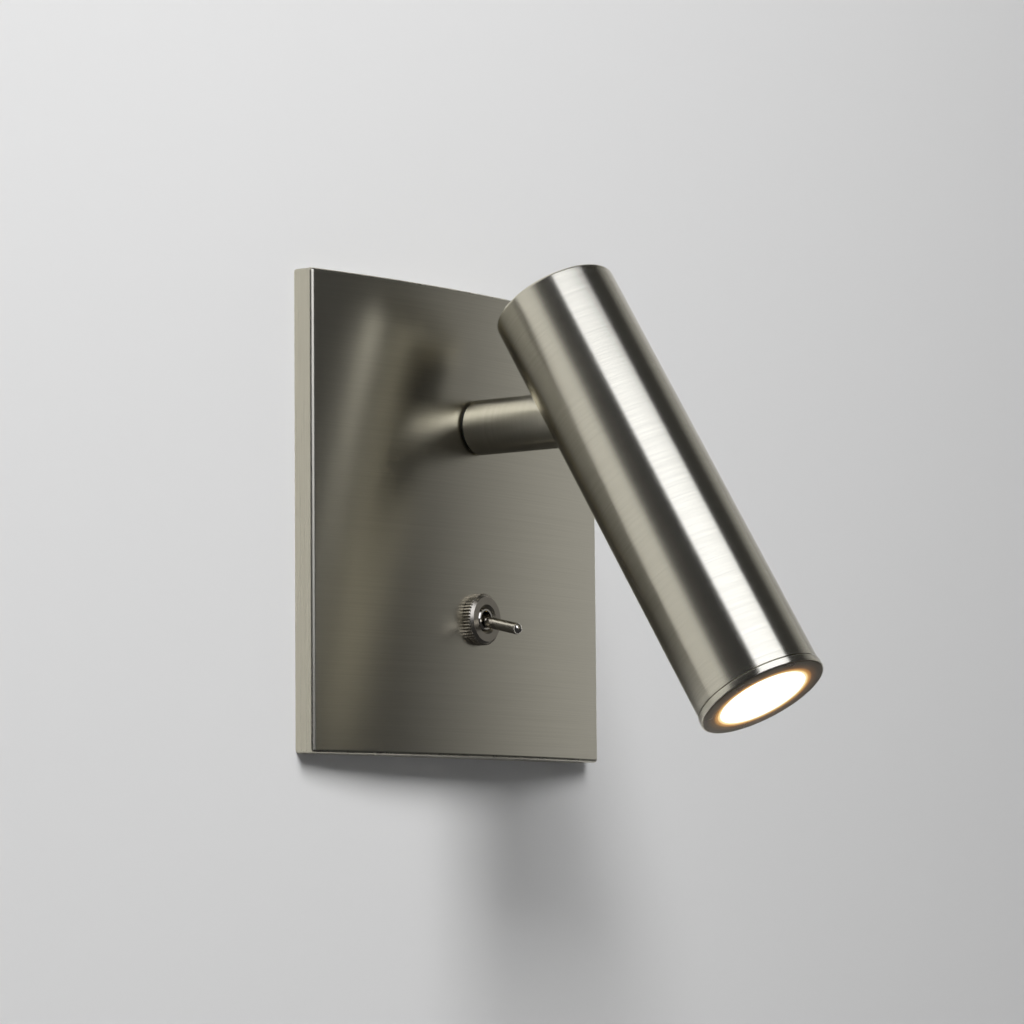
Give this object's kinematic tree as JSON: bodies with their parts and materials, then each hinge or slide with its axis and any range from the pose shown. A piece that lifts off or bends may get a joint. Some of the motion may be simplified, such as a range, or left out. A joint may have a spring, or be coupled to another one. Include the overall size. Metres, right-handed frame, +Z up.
{
  "type": "wall reading lamp",
  "caption": "Bedside wall reading lamp: bowed square plate with a toggle switch, a short swivelling arm and a tilting tubular LED head.",
  "frame": {"origin": "on the wall, midway between the two fixing slots and at the middle of the plate", "axes": "+Y into the wall, -Y out into the room, +Z up, +X to the right as one faces the wall"},
  "size_m": [0.13, 0.1538, 0.1335],
  "materials": {
    "satin_nickel": "satin nickel plate, finely brushed: straight across the plate, round the tubes",
    "polished_nickel": "bright nickel plate",
    "zinc_plated_steel": "zinc plated steel",
    "turned_aluminium": "turned aluminium",
    "brass": "plain brass",
    "tinned_copper": "tinned copper",
    "natural_nylon": "moulded natural nylon",
    "black_nylon": "moulded black nylon",
    "white_moulding": "moulded white polycarbonate",
    "circuit_board": "green glass-epoxy board",
    "board_parts": "black moulded and sleeved components",
    "white_board": "white solder mask on aluminium",
    "led_phosphor": "silicone with yellow phosphor",
    "reflector_coating": "metallised reflector",
    "gasket_rubber": "black silicone rubber",
    "lens_acrylic": "frosted lens, lit warm white",
    "brown_wire": "brown wire insulation",
    "blue_wire": "blue wire insulation",
    "earth_wire": "green and yellow wire insulation",
    "lead_sheath": "white sheathed two-core lead"
  },
  "bodies": {
    "wall_unit": {"front_plate": "satin_nickel", "dress_nut": "satin_nickel", "switch_bushing": "polished_nickel", "wall_bracket": "zinc_plated_steel", "plate_grub_screws": "zinc_plated_steel", "block_screws": "zinc_plated_steel", "terminal_screws": "zinc_plated_steel", "earth_washer": "zinc_plated_steel", "earth_screw": "zinc_plated_steel", "driver_screws": "zinc_plated_steel", "lock_washer": "zinc_plated_steel", "switch_nut": "zinc_plated_steel", "terminal_barrels": "brass", "switch_terminals": "brass", "lever_pin": "brass", "earth_tag": "tinned_copper", "terminal_block": "natural_nylon", "slip_washer": "natural_nylon", "arm_washer": "black_nylon", "switch_case": "black_nylon", "driver_case": "white_moulding", "driver_lid": "white_moulding", "driver_board": "circuit_board", "driver_transformer": "board_parts", "driver_capacitor": "board_parts", "live_lead": "brown_wire", "switched_lead": "brown_wire", "neutral_lead": "blue_wire", "earth_lead": "earth_wire", "led_lead_rear": "lead_sheath"},
    "arm": {"stop_washer": "zinc_plated_steel", "spring_washer": "zinc_plated_steel", "swivel_nut": "zinc_plated_steel", "arm_spigot": "brass", "arm_tube": "satin_nickel", "arm_knuckle": "turned_aluminium", "led_lead_arm": "lead_sheath"},
    "head": {"head_shell": "satin_nickel", "pivot_block": "turned_aluminium", "pivot_screws": "zinc_plated_steel", "friction_washers": "zinc_plated_steel", "block_grub_screw": "zinc_plated_steel", "heat_sink": "turned_aluminium", "led_board": "white_board", "board_screws": "zinc_plated_steel", "led_emitter": "led_phosphor", "reflector": "reflector_coating", "lens_gasket": "gasket_rubber", "lens": "lens_acrylic", "bezel_ring": "satin_nickel", "led_lead_head": "lead_sheath"},
    "lever": {"switch_lever": "polished_nickel", "switch_plunger": "natural_nylon"},
    "rocker": {"switch_rocker": "brass"}
  },
  "joints": [
    {"name": "arm_swivel", "type": "hinge", "parent": "wall_unit", "child": "arm", "pos_m": [0, -0.012, 0.0268], "axis": [0, -1, 0], "range_deg": [-160, 160]},
    {"name": "head_tilt", "type": "hinge", "parent": "arm", "child": "head", "pos_m": [0, -0.0588, 0.0268], "axis": [1, 0, 0], "range_deg": [-19, 30.8]},
    {"name": "switch_toggle", "type": "hinge", "parent": "wall_unit", "child": "lever", "pos_m": [0, -0.0118, -0.0268], "axis": [1, 0, 0], "range_deg": [-26, 0]},
    {"name": "rocker_tilt", "type": "hinge", "parent": "wall_unit", "child": "rocker", "pos_m": [0, 0.0026, -0.0268], "axis": [1, 0, 0], "range_deg": [0, 18.2]}
  ],
  "couplings": [
    {"joint": "rocker_tilt", "follows": "switch_toggle", "ratio": -0.7}
  ]
}
